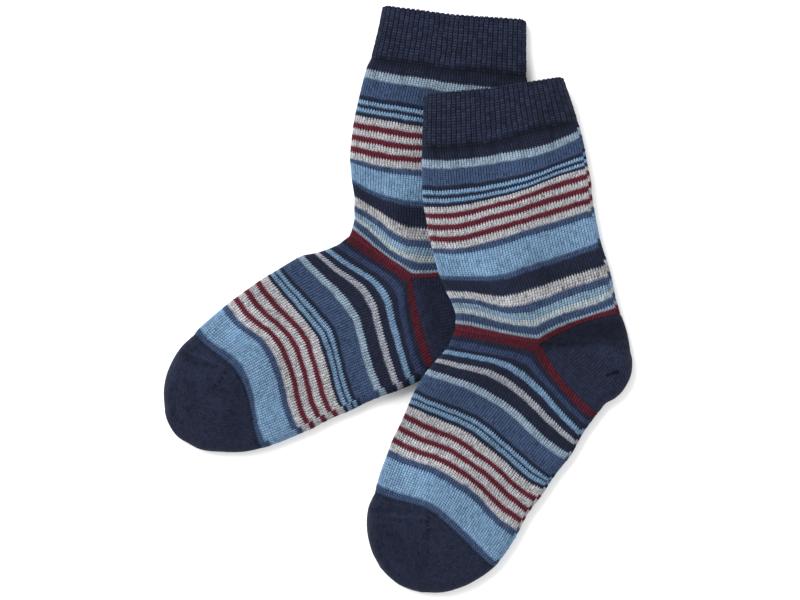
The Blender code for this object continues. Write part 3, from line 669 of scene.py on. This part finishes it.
def make_stitch_group():
    tree, given, result = new_group(
        "knit stitch",
        [("Map", VECTOR), ("Drawn slant", FLOAT, 0.0), ("Step wale", FLOAT, 63.0),
         ("Hole width", FLOAT, 0.4)],
        [("Course", FLOAT), ("Height", FLOAT), ("Valley", FLOAT), ("Hole", FLOAT),
         ("Stitch random", FLOAT), ("Place", VECTOR)])
    split = add_node(tree, "ShaderNodeSeparateXYZ", {0: given["Map"]}).outputs
    wale, drawn = times(split["X"], WALES), times(split["Y"], LAST_COURSE)
    # Past the step, stripes come earlier, and fall back to their course round the lower side.
    past = is_above(wale, given["Step wale"])
    fall = divided(minus(WALES, wale), minus(WALES, given["Step wale"]))
    shown = plus(drawn, times(times(past, fall), STEP_COURSES))
    # Across a wale: 0 on its centre line, 1 in the valley beside it.
    from_centre = unsigned(times_plus(fraction(wale), 2.0, -1.0))
    course = plus(drawn, times(given["Drawn slant"], minus(0.5, from_centre)))
    bulge = sine(times(fraction(course), math.pi))
    leg = sine(times(from_centre, math.pi))
    height = times(times_plus(bulge, 0.4, 0.6), times_plus(leg, 0.6, 0.4))
    valley = ramp_up(from_centre, 0.54, 0.92)
    gap = minus(1.0, ramp_up(bulge, 0.2, 0.8))
    centre = minus(1.0, ramp_up(from_centre, 0.05, given["Hole width"]))
    stitch = add_node(tree, "ShaderNodeCombineXYZ",
                      {"X": rounded_down(wale), "Y": rounded_down(course)})
    noise = add_node(tree, "ShaderNodeTexWhiteNoise", {"Vector": stitch.outputs[0]},
                     noise_dimensions="2D")
    place = add_node(tree, "ShaderNodeCombineXYZ", {"X": wale, "Y": course})
    feed(result, {"Course": shown, "Height": height, "Valley": valley,
                  "Hole": times(gap, larger(valley, centre)),
                  "Stitch random": noise.outputs["Value"], "Place": place.outputs[0]})
    return tree


STITCH = make_stitch_group()
print("stitch group:", len(STITCH.nodes), "nodes")

# %% [markdown]
# ## Materials: the yarn
#
# A second group turns a plain stripe colour into yarn. Melange is short dark fibres lying along
# the yarn. Specks are single stitches where the darker yarn behind shows through. Mottle is a
# slow change of shade, as worn and washed cotton has it. Valleys and holes are darkened last, as
# a painted shade, since they are in shadow whatever their yarn. Low places and creases get a
# painted shade too, ridges and the linked seam's loops a painted highlight, and the gore's holes
# a painted shade.

# %% The yarn group
def make_yarn_group():
    tree, given, result = new_group(
        "dyed yarn",
        [("Stripe", COLOUR, (0.1, 0.1, 0.1, 1.0)), ("Traits", COLOUR, (0.0, 0.0, 0.0, 1.0)),
         ("Place", VECTOR), ("Valley", FLOAT), ("Hole", FLOAT), ("Stitch random", FLOAT),
         ("Unevenness", FLOAT, 0.4), ("Sunk", FLOAT), ("Linked seam", FLOAT), ("Gore", FLOAT)],
        [("Colour", COLOUR)])
    traits = add_node(tree, "ShaderNodeSeparateColor", {0: given["Traits"]})
    melange, specks, mottle = traits.outputs

    def fibres(scale, stretch, detail):
        """Noise over the cloth, stretched across the wales or along them."""
        mapping = add_node(tree, "ShaderNodeMapping",
                           {"Scale": (*stretch, 1.0), "Vector": given["Place"]})
        noise = add_node(tree, "ShaderNodeTexNoise",
                         {"Vector": mapping.outputs[0], "Scale": scale, "Detail": detail})
        return noise.outputs["Fac"]

    shade = times_plus(minus(given["Stitch random"], 0.5), given["Unevenness"], 1.16)
    slow = minus(fibres(0.11, (1.0, 1.3), 3.0), 0.5)
    shade = plus(shade, times(times(slow, mottle), 0.55))
    flecks = times(ramp_up(fibres(0.8, (1.6, 0.7), 2.0), 0.52, 0.64), melange)
    shade = minus(shade, times(flecks, 0.5))
    spots = times(is_below(given["Stitch random"], 0.05), specks)
    shade = minus(shade, times(spots, 0.25))
    # Stitches are crisper in some places than in others.
    defined = times_plus(fibres(0.07, (1.0, 1.0), 1.0), 1.4, 0.3)
    defined = times(defined, times_plus(specks, 0.65, 0.9))
    # Painted light and shade: valleys, holes, low places and creases are darkened, ridges are
    # lightened, and so are the linked seam's loops, as a painted highlight.
    for label, change in (("Valley", -0.42), ("Hole", -1.1), ("Sunk", -0.62),
                          ("Linked seam", 0.45)):
        mask = given[label]
        if label in ("Valley", "Hole"):
            mask = times(mask, defined)
        shade = times(shade, times_plus(mask, change, 1.0))
    # The holes of the gore show at every second course, as a painted shade.
    course = add_node(tree, "ShaderNodeSeparateXYZ", {0: given["Place"]}).outputs["Y"]
    beat = sine(times(course, math.pi))
    pinholes = times(given["Gore"], ramp_up(beat, 0.1, 0.6))
    shade = larger(times(shade, times_plus(pinholes, -0.7, 1.0)), 0.1)
    tint = add_node(tree, "ShaderNodeCombineColor", {0: shade, 1: shade, 2: shade})
    # The inputs 6 and 7 and the output 2 of a Mix node are the ones for colours.
    mixed = add_node(tree, "ShaderNodeMix", {0: 1.0, 6: given["Stripe"], 7: tint.outputs[0]},
                     data_type="RGBA", blend_type="MULTIPLY")
    feed(result, {"Colour": mixed.outputs[2]})
    return tree


YARN = make_yarn_group()
print("yarn group:", len(YARN.nodes), "nodes")

# %% [markdown]
# ## Materials: knitted cloth
#
# Each finish is a Principled shader with no shine and a soft sheen, which is how the fuzz of
# spun cotton catches light at a glancing angle. The stitch's height goes into a Bump node, for
# the roundness of the yarn that is too fine for the mesh.

# %% Knitted finishes
def fill_ramp(ramp, stripes, first, value_of):
    """One constant stop a stripe."""
    ramp.interpolation = "CONSTANT"
    ramp.elements.remove(ramp.elements[-1])
    last = stripes[-1][1]
    starts = [first] + [end for yarn, end in stripes[:-1]]
    while len(ramp.elements) < len(stripes):
        ramp.elements.new(1.0)
    for stop, start, (yarn, end) in zip(ramp.elements, starts, stripes):
        stop.position = (start - first) / (last - first)
        stop.color = (*value_of(YARNS[yarn]), 1.0)


def make_knit(name, stripes, first, step_wale=63.0, slant=0.0, relief=0.25, unevenness=0.42,
              hole_width=0.4):
    material = bpy.data.materials.new(name)
    material.use_nodes = True
    tree = material.node_tree
    source = add_node(tree, "ShaderNodeUVMap", uv_map="knit")
    stitch = add_node(tree, "ShaderNodeGroup", node_tree=STITCH)
    feed(stitch, {"Map": source.outputs[0], "Drawn slant": slant, "Step wale": step_wale,
                  "Hole width": hole_width})
    along = add_node(tree, "ShaderNodeMapRange", {
        "Value": stitch.outputs["Course"], "From Min": first, "From Max": stripes[-1][1]})
    yarn = add_node(tree, "ShaderNodeGroup", node_tree=YARN)
    feed(yarn, {"Unevenness": unevenness, **{
        label: stitch.outputs[label] for label in ("Place", "Valley", "Hole", "Stitch random")}})
    for label, value_of in (("Stripe", lambda kind: linear(kind.colour)),
                            ("Traits", lambda kind: kind[1:])):
        ramp = add_node(tree, "ShaderNodeValToRGB", {0: along.outputs["Result"]}, label=label)
        fill_ramp(ramp.color_ramp, stripes, first, value_of)
        feed(yarn, {label: ramp.outputs["Color"]})
    for label in ("Sunk", "Linked seam", "Gore"):
        note = add_node(tree, "ShaderNodeAttribute", attribute_name=label.lower())
        feed(yarn, {label: note.outputs["Fac"]})
    bump = add_node(tree, "ShaderNodeBump", {
        "Strength": 0.6, "Distance": relief * MM, "Height": stitch.outputs["Height"]})
    feed(tree.nodes["Principled BSDF"], {
        "Roughness": 0.9, "Specular IOR Level": 0.08, "Sheen Weight": 0.04,
        "Sheen Roughness": 0.45, "Sheen Tint": (0.75, 0.8, 0.95, 1.0),
        "Base Color": yarn.outputs["Colour"], "Normal": bump.outputs["Normal"]})
    return material


RIB = make_knit("navy rib", RIB_STRIPES, 0, unevenness=0.72, hole_width=0.7)
POCKET = make_knit("navy knit", POCKET_STRIPES, 0, slant=1.0, relief=0.5, unevenness=0.6)
STRIPED = {
    name: [make_knit(f"{name} {tube.part} knit", tube.stripes, tube.first, step_wale)
           for tube in TUBES] for name, step_wale in (("rear", 59.2), ("front", 61.2))}
print("finishes:", ", ".join(material.name for material in bpy.data.materials))

# %% [markdown]
# ## Leg and foot
#
# Both are plain tubes of 128 needles. On plain knitting every stitch is a V that points to the
# cuff, so a straight row of vertices is bent into a zigzag: half a course back on the centre of
# each wale, and half a course on in the valley. The map keeps the row's own number, and so each
# edge of a stripe gets its teeth by itself. The upper side, which is looked at most, has four
# columns to a wale, and the lower side two.
#
# No two stitches are pulled equally tight. Small random steps, always the same ones because the
# generator is seeded, and slow waves keep the cloth from looking printed.

# %% Rows and columns of a tube
UPPER_STEPS, LOWER_STEPS = (0.0, 0.25, 0.5, 0.75), (0.0, 0.5)
TOOTH = 0.68                    # half the height of a stripe's teeth, in courses
WELT_DIP, WELT_RUN = 0.95, 3.6  # how far the plain knit draws in below the cuff's welt
# LIFTED is the least painted shade that a finish is told of: below 0, on ridges, it is painted
# light.
LIFTED = -0.35                  # the least depth that a finish is told of, on ridges
LOOSE_PULL, LOOSE_DEPTH = 0.12, 0.06        # random steps along the courses and in depth
STITCH_DEPTHS = (0.14, 0.0, 0.32)           # on a wale's centre line, leg and valley
COURSE_DEPTH = 0.1              # of the furrow between two courses
KNOT_HEIGHT = 0.25              # of the bumps where the ends of two yarns are caught in
ROUGH_WALE, KNOT_WALE = 62.5, 62.7          # next to the back fold, where yarns change


def wale_columns(upper_steps, lower_steps, each=1):
    """Wale numbers of a tube's columns, from the front fold round to the front fold."""
    over = [wale + step * each for wale in range(0, HALF, each) for step in upper_steps]
    under = [wale + step * each for wale in range(HALF, WALES, each) for step in lower_steps]
    return np.array(over + under + [float(WALES)])


def wales_from_fold(wales):
    return np.abs((wales + QUARTER) % HALF - QUARTER)


def drawn_in(wales, courses):
    """1 where the cuff's welt ends and the cloth is drawn in, 0 away from that line."""
    angle = wales / WALES * 2 * math.pi
    line = CUFF_END + 0.5 * np.sin(5 * angle) + 0.3 * np.sin(14 * angle + 1.0)
    near = 1 - smooth_step(np.abs(courses - line) / WELT_RUN)
    return near * (0.3 + 0.7 * smooth_step(wales_from_fold(wales) / 7.0))


def draw_in(depth, wales, courses):
    share = drawn_in(wales, courses)
    return depth * (1 - share) + WELT_DIP * share


def note_painted_shading(piece, depth):
    """Keeps each vertex's painted shade, up to 1, for the finish to darken; below 0 it is painted
    light.
    """
    keep_note(piece, "sunk", np.clip(depth, LIFTED, 1.0))


def wander(wales, courses, turn):
    """Slow waves in the courses, in courses."""
    angle = wales / WALES * 2 * math.pi
    return (0.12 * np.sin(7 * angle + courses * 0.13 + turn)
            + 0.08 * np.sin(17 * angle - courses * 0.21 + 2 * turn))


def plain_relief(wales, courses, first, last, seed):
    """How far each vertex moves along the courses, and its depth below the stitches' tops."""
    from_centre = np.abs(wales % 1 * 2 - 1)
    from_first, to_last = np.clip(courses - first, 0, 1), np.clip(last - courses, 0, 1)
    loose = np.random.default_rng(seed).uniform(-1.0, 1.0, (2, len(wales)))
    # Next to the heel the last stitches reach over the heel's edge, as teeth.
    at_heel = smooth_step((QUARTER - np.abs(wales - HALF)) / 2)
    over_first, over_last = at_heel * (first == LEG_END), at_heel * (last == LEG_END)
    toothed = np.maximum(from_first, over_first)
    toothed = toothed * np.maximum(to_last, over_last if last == LEG_END else 1.0)
    moved = 2 * TOOTH * (from_centre - 0.5) * toothed
    moved = moved + TOOTH * (over_last * (1 - to_last) - over_first * (1 - from_first))
    still = from_first * to_last
    moved = moved + (loose[0] * LOOSE_PULL + wander(wales, courses, seed)) * still
    rough = 1 + 3 * bell(wales - ROUGH_WALE, 2.0)
    depth = np.interp(from_centre, (0.0, 0.5, 1.0), STITCH_DEPTHS)
    depth = depth + COURSE_DEPTH * np.cos(math.pi * courses) ** 2
    depth = depth + loose[1] * LOOSE_DEPTH * rough * still
    return moved, np.maximum(depth, 0.0)


def knots(wales, courses, stripes):
    """Small bumps near the back fold, where the ends of two yarns are caught in."""
    ends = np.array([end for yarn, end in stripes[1:-1]])
    near = bell(courses[:, None] - ends, 0.6).max(axis=1)
    return KNOT_HEIGHT * near * bell(wales - KNOT_WALE, 0.8)


def crease_shadow(sock, places, upper):
    """How dark the creases look: the narrower they are, the less light gets in."""
    # This goes into the colour as painted shade in troughs, and as painted light on ridges, whose
    # depth is below 0.
    return upper * crease_depth(sock.creases, places, lambda crease: (
        0.6 * crease.depth * min(1.0, 2.0 / crease.spread)))


def make_tube(sock, tube, material, seed):
    """A leg or foot: the outside from first to last, and back on the inside."""
    part, first, last, stripes = tube[:4]
    columns = wale_columns(UPPER_STEPS, LOWER_STEPS)
    outside = np.arange(first, last + 0.25, 0.5)
    rows = np.concatenate([outside, np.linspace(last, first, INNER_ROWS), [first]])
    size = (WALES * WALE_PITCH, (last - first) * COURSE_PITCH)
    piece, column, row = add_grid(sock, part, columns, rows, size)
    wales, courses = columns[column], rows[row]
    skin = (row < len(outside)) | (row == len(rows) - 1)
    moved, depth = plain_relief(wales, courses, first, last, seed)
    # Both vertices of a closing seam have to land on one place, so they share their values.
    moved, plain_depth = share_closing_values(column, row, moved, depth)
    depth = draw_in(plain_depth, wales, courses) - knots(wales, courses, stripes)
    inset = np.where(skin, depth, KNIT_WALL)
    lines = lines_at(getattr(sock, part), courses + moved * skin)
    points = cloth_points(sock, lines, wales, inset)
    draw_knit_map(piece, (wales, courses))
    # Painted shade in the stitch valleys, by their depth, and under the welt where the cloth draws
    # in, with the creases' painted shade and light.
    dark = plain_depth / 0.6 + 0.9 * drawn_in(wales, courses)
    note_painted_shading(piece, dark + crease_shadow(sock, points[:, :2], wales < HALF))
    close_cloth(piece, points)
    dress(piece, material, size)


for number, sock in enumerate((REAR, FRONT)):
    for tube, material in zip(TUBES, STRIPED[sock.name]):
        make_tube(sock, tube, material, tube.seed + number)

# %% [markdown]
# ## Cuff
#
# The cuff is a double welt in one-by-one rib: every second wale is knitted from the inside, so
# it sinks and its neighbours stand up as 64 ribs. At the top the cloth turns over, and each rib
# makes a small scallop there. The same grid does this: its rows run up the outside, round the
# top in a half circle, and down the inside.

# %% Cuffs
RIB_STEPS = (0.0, 1 / 6, 1 / 3, 1 / 2, 2 / 3, 5 / 6)
UNDER_RIB_STEPS = (0.0, 0.25, 0.5, 0.75)
CUFF_SEED = 31
RIB_DEPTH, COURSE_DIP, RIB_LOOSE = 0.6, 0.25, 0.16
CUFF_SIZE = (WALES * WALE_PITCH, CUFF_END * COURSE_PITCH)
EDGE_COURSES = 1.25             # the half circle's radius, in courses
EDGE_TURNS = 8
CORNER_DROP = 1.1               # in courses
RIB_STITCH = 0.67               # of a stitch to a course of plain knit: rib is looser


def rib_profile(wales):
    """1 in the valley between two ribs, 0 on their tops, with a slight dip in the middle."""
    across = np.abs(wales / 2 % 1 - 0.5) * 2
    return np.interp(across, (0.0, 0.34, 0.67, 1.0), (0.15, 0.0, 0.3, 1.0))


def make_cuff(sock, seed):
    columns = wale_columns(RIB_STEPS, UNDER_RIB_STEPS, each=2)
    turns = np.linspace(0.0, math.pi, EDGE_TURNS + 1)
    up = np.arange(CUFF_END, EDGE_COURSES, -0.5)
    down = np.linspace(EDGE_COURSES, CUFF_END, INNER_ROWS)[1:]
    rows = np.concatenate([up, EDGE_COURSES * (1 - np.sin(turns)), down, [CUFF_END]])
    angles = np.concatenate([np.zeros(len(up)), turns, np.full(len(down), math.pi), [0.0]])
    piece, column, row = add_grid(sock, "cuff", columns, rows, CUFF_SIZE)
    wales, courses, angle = columns[column], rows[row], angles[row]
    outside = (1 + np.cos(angle)) / 2
    loose = np.random.default_rng(seed).uniform(-1.0, 1.0, (3, len(wales)))
    loose = share_closing_values(column, row, *loose)
    valley = rib_profile(wales)
    fade = np.clip(np.minimum(courses, CUFF_END - courses), 0.0, 1.0)
    dip = COURSE_DIP * (1 - valley) * np.cos(math.pi * courses * RIB_STITCH) ** 2
    depth = RIB_DEPTH * valley + dip + RIB_LOOSE * loose[0] * fade
    depth = draw_in(np.maximum(depth, 0.0), wales, courses)
    inset = (RIB_WALL / 2) * (1 - np.cos(angle)) + depth * outside
    scallop = 0.7 * valley + 0.3 * loose[1]
    moved = (0.6 * (valley - 0.5) + 0.3 * loose[2]) * fade * outside
    moved = moved + scallop * np.sin(angle) * np.clip(1 - courses / 2, 0.0, 1.0)
    # Where the tube turns over, its top corners are worn round.
    corner = bell(wales_from_fold(wales), 2.5)
    moved = moved + CORNER_DROP * corner * np.clip(1 - courses / 8, 0, 1)
    turned = wales / WALES * 2 * math.pi
    swayed = wales + (0.12 * np.sin(courses * 0.37 + 9 * turned)
                      + 0.1 * np.sin(courses * 0.9 - 23 * turned)) * fade * np.sin(turned) ** 2
    lines = lines_at(sock.leg, np.maximum(courses + moved, -0.3))
    points = cloth_points(sock, lines, swayed, inset)
    draw_knit_map(piece, (wales / 2, courses * RIB_STITCH))
    # Painted shade in the rib valleys and under the welt, on the outside only.
    note_painted_shading(piece, (0.7 * valley ** 2 + 0.9 * drawn_in(wales, courses)) * outside)
    close_cloth(piece, points)
    dress(piece, RIB, CUFF_SIZE)


for number, sock in enumerate((REAR, FRONT)):
    make_cuff(sock, CUFF_SEED + number)

# %% [markdown]
# ## Heel
#
# The heel is knitted to and fro on half of the needles. Its courses get shorter and longer
# again, which makes a pocket whose two halves meet on a slanting line, the gore. Seen from the
# side it is a fan about the gore's corner, so its grid's rows are rays of that fan, and its
# columns run out along them, over the back fold and home again underneath.
#
# For the map, the half next to the leg counts its courses down from the leg, and the other half
# counts up to the sole. The faces on either side of the gore take one or the other.

# %% Heels
HEEL_RAYS, HEEL_STEPS = 116, 78
SEAM_GROOVE, GROOVE_WIDTH = 0.45, 1.1       # of the dip along the heel's seams
GORE_TURN = 0.43                # where the gore lies between the leg (0) and the sole (1)
MAPPED_TURN, MAPPED_RAYS = 0.6, 20          # of the outline, from either seam, for the map
HEEL_SIZE = (HALF * WALE_PITCH, 44.0)


def heel_map(away, angle, ray_lengths, ray_angles, side):
    """Wales and courses of places at a distance and angle from the seam of the leg or sole."""
    depth = away * np.sin(angle)
    back = np.interp(depth, ray_lengths * np.sin(ray_angles), ray_lengths * np.cos(ray_angles))
    from_back = (back - away * np.cos(angle)) / (ray_lengths[0] / QUARTER)
    return HALF + side * from_back, depth / COURSE_PITCH


def make_heel(sock):
    turns = np.linspace(0.0, 1.0, HEEL_RAYS + 1)
    rows = np.concatenate([turns, np.linspace(1.0, 0.0, INNER_ROWS), [0.0]])
    out = QUARTER * np.linspace(0.01, 1.0, HEEL_STEPS + 1)
    columns = np.concatenate([QUARTER + out, (3 * QUARTER - out)[-2::-1]])
    piece, column, row = add_grid(sock, "heel", columns, rows, HEEL_SIZE)
    wales, turn = columns[column], rows[row]
    skin = (row <= HEEL_RAYS) | (row == len(rows) - 1)
    rays = smooth_rows(sock.heel, turn)
    reach, sink = rays[..., 1], rays[..., 2]
    leg_end, foot_start = sock.leg[-1], sock.foot[0]
    corner = np.array(leg_end.middle)
    # The same fan, unrolled: how far out each vertex is along its ray, round the fold too.
    to_leg, to_sole = (np.array(course.back) - corner for course in (leg_end, foot_start))
    opening = math.acos(to_leg @ to_sole / np.linalg.norm(to_leg) / np.linalg.norm(to_sole))
    away = (reach + FOLD_EXTRA) * (1 - np.abs(wales - HALF) / QUARTER)
    groove = SEAM_GROOVE * bell(away * np.sin(opening * np.minimum(turn, 1 - turn)), GROOVE_WIDTH)
    still, corners = np.zeros(len(wales)), np.tile(corner, (len(wales), 1))
    lines = {"front": corners, "middle": corners, "back": heel_edge(sock, turn, reach),
             "height": still + leg_end.height, "bow_front": still,
             "bow_back": leg_end.bow_back * (1 - turn) + foot_start.bow_back * turn,
             "sway_front": still, "sway_back": still}
    points = cloth_points(sock, lines, wales, np.where(skin, groove, KNIT_WALL), sink)
    # The creases' painted shade and light, and a little painted shade in the seams' groove.
    note_painted_shading(piece, crease_shadow(sock, points[:, :2], (wales < HALF) & skin) + 0.15 * groove)
    maps = []
    near = np.linspace(0.0, MAPPED_TURN, MAPPED_RAYS)
    for from_seam, ray_turns, sign in ((turn, near, 1.0), (1 - turn, 1 - near, -1.0)):
        lengths = smooth_rows(sock.heel, ray_turns)[..., 1] + FOLD_EXTRA
        heel_wales, depth = heel_map(away, from_seam * opening, lengths, near * opening,
                                     np.sign(wales - HALF))
        maps.append((heel_wales, LEG_END + sign * depth))
    draw_knit_map(piece, *maps, turn - GORE_TURN)
    close_cloth(piece, points)
    dress(piece, POCKET, HEEL_SIZE)


for sock in (REAR, FRONT):
    make_heel(sock)

# %% [markdown]
# ## Toe
#
# The toe is a second pocket, knitted like the heel. It has a gore too, with a row of small holes
# where the short courses turn, and it is closed by a linked seam that stands up as a thin ridge
# across the front half. At its tip the upper and the lower side come together: the last rows of
# the grid turn over towards each other until they meet in front of the toes.

# %% Toes
TOE_TURNS = 8
TIP_COURSES = 6                 # counted for the map where the cloth turns over
TOE_SIZE = (WALES * WALE_PITCH, (LAST_COURSE - FOOT_END) * COURSE_PITCH)
TOE_TAPER = 0.76                # of that rectangle is left by the gores
FAR_COURSES = 400.0             # so far off, an end leaves no mark on the relief
RIDGE_HEIGHT, RIDGE_WIDTH = 0.6, 0.7        # of the linked seam
DIP_DEPTH, DIP_WIDTH, DIP_PLACE = 0.35, 1.0, 1.8    # of the cloth on either side of it
GORE_DEPTH, GORE_WIDTH = 0.35, 0.8


def toe_wales(sock, lines, wales):
    """Wales counted from the folds at the foot's pitch, so that they end at the gore."""
    start = lines_at(sock.foot, np.full(len(wales), float(FOOT_END)))
    counted = []
    for edge, nearest in (("front", np.where(wales > HALF, WALES, 0)), ("back", HALF)):
        pitch, length = ((np.linalg.norm(place[edge] - place["middle"], axis=-1) + FOLD_EXTRA)
                         / QUARTER for place in (start, lines))
        counted.append(nearest + (wales - nearest) * length / pitch)
    return counted


def make_toe(sock):
    columns = wale_columns(LOWER_STEPS, LOWER_STEPS)
    last = sock.foot[-1].number
    quarter_turn = np.linspace(0.0, math.pi / 2, TOE_TURNS + 1)
    inside = np.linspace(last, FOOT_END, INNER_ROWS)
    outside = np.arange(FOOT_END, last + 0.25, 0.5)
    tip = np.full(TOE_TURNS, float(last))
    rows = np.concatenate([tip, inside, outside, tip])
    closings = np.concatenate([quarter_turn[:0:-1], np.zeros(len(inside) + len(outside)),
                               quarter_turn[1:]])
    depths = np.where(np.arange(len(rows)) < TOE_TURNS + len(inside), KNIT_WALL, 0.0)
    piece, column, row = add_grid(sock, "toe", columns, rows, TOE_SIZE)
    wales, courses, closing, inset = columns[column], rows[row], closings[row], depths[row]
    relief = plain_relief(wales, courses, FOOT_END - 2.0, FOOT_END + FAR_COURSES, 0)
    moved, depth = share_closing_values(column, row, *relief)
    start = np.clip(1 - (courses - FOOT_END) / 2, 0.0, 1.0) * (inset == 0)
    points = cloth_points(sock, lines_at(sock.foot, courses + moved * start), wales,
                          inset + depth * start, closing=closing)
    places, gore = points[:, :2], np.array(sock.gore)
    above = (wales < HALF) & (inset == 0) & (closing < 0.6)
    from_seam, from_gore = distance_from(places, sock.linking), distance_from(places, sock.gore)
    loops = 0.7 + 0.3 * np.cos(wales * 2 * math.pi / 1.5)
    ridge = (RIDGE_HEIGHT * loops * bell(from_seam, RIDGE_WIDTH)
             - DIP_DEPTH * bell(from_seam - DIP_PLACE, DIP_WIDTH))
    off_fold = smooth_step(np.minimum(wales, HALF - wales) / 1.5)
    points[:, 2] += above * off_fold * (ridge - GORE_DEPTH * bell(from_gore, GORE_WIDTH))
    order = np.argsort(gore[:, 1])
    behind = points[:, 0] > np.interp(points[:, 1], gore[order, 1], gore[order, 0])
    shown = courses + closing / (math.pi / 2) * TIP_COURSES
    from_front, from_back = toe_wales(sock, lines_at(sock.foot, courses), wales)
    draw_knit_map(piece, (from_front, shown), (from_back, shown), behind - 0.5)
    # The creases' painted shade, and painted light on ridges, on the upper side.
    note_painted_shading(piece, crease_shadow(sock, places, above))
    loop_tops = 0.5 + 0.5 * np.cos(2 * math.pi * wales)
    # The gore's holes are open near its start, and close towards the tip of the toe.
    along_gore = np.linalg.norm(places - gore[0], axis=-1)
    open_holes = 1.0 - 0.6 * smooth_step((along_gore - 7.0) / 8.0)
    # These notes are painted light and shade: the linked seam's loops lighter, a painted highlight
    # on its ridge, and the gore's holes darker, a painted shade.
    for name, distance, strength in (("linked seam", from_seam, 0.3 + 0.7 * loop_tops),
                                     ("gore", from_gore, open_holes)):
        share = np.clip(1.3 - distance, 0.0, 1.0) * strength
        keep_note(piece, name, share * (wales <= HALF))
    close_cloth(piece, points)
    dress(piece, POCKET, TOE_SIZE, TOE_TAPER)


for sock in (REAR, FRONT):
    make_toe(sock)

# %% [markdown]
# ## Floor, light and camera
#
# The pair lies on a plain pale floor under soft light from the upper left. The camera looks
# straight down. A long lens from far away keeps the picture free of perspective, so the socks'
# outlines keep their true proportions.

# %% Floor
FLOOR = bpy.data.materials.new("pale floor")
FLOOR.use_nodes = True
feed(FLOOR.node_tree.nodes["Principled BSDF"], {
    "Base Color": (0.96, 0.96, 0.96, 1.0), "Roughness": 0.9, "Specular IOR Level": 0.1})
bpy.ops.object.select_all(action="DESELECT")
bpy.ops.mesh.primitive_plane_add(size=16.0, location=(0.0, 0.0, 0.0))
floor = bpy.context.object
floor.name = "floor"
floor.data.materials.append(FLOOR)
print("floor:", [round(side, 2) for side in floor.dimensions[:2]], "m")

# %% Light
def add_softbox(name, place, size, power):
    """A square area light that faces the middle of the pair."""
    bpy.ops.object.light_add(type="AREA", location=place)
    lamp = bpy.context.object
    lamp.name = name
    lamp.data.size = size
    lamp.data.energy = power
    x, y, z = place
    lamp.rotation_euler = (math.acos(z / np.linalg.norm(place)), 0.0, math.atan2(x, -y))


add_softbox("key light", (-1.4, 1.3, 2.0), 2.0, 112.0)
add_softbox("fill light", (1.8, -0.8, 1.8), 2.2, 26.0)
world = bpy.context.scene.world or bpy.data.worlds.new("studio")
bpy.context.scene.world = world
world.use_nodes = True
backdrop = next(node for node in world.node_tree.nodes if node.type == "BACKGROUND")
feed(backdrop, {"Color": (1.0, 1.0, 1.0, 1.0), "Strength": 0.85})
bpy.context.scene.view_settings.view_transform = "Standard"

# %% Camera
FRAME_WIDTH = 344 * MM          # what the picture spans at the height of the cloth
CLOTH_HEIGHT = 10 * MM
LENS, SENSOR = 400.0, 36.0      # in millimetres

bpy.ops.object.camera_add(location=(0.75 * MM, -0.1 * MM, CLOTH_HEIGHT
                                    + FRAME_WIDTH * LENS / SENSOR), rotation=(0.0, 0.0, 0.0))
camera = bpy.context.object
camera.data.lens = LENS
camera.data.sensor_width = SENSOR
camera.data.clip_end = 100.0
bpy.context.scene.camera = camera
print("camera at", round(camera.location.z, 2), "m above the floor")
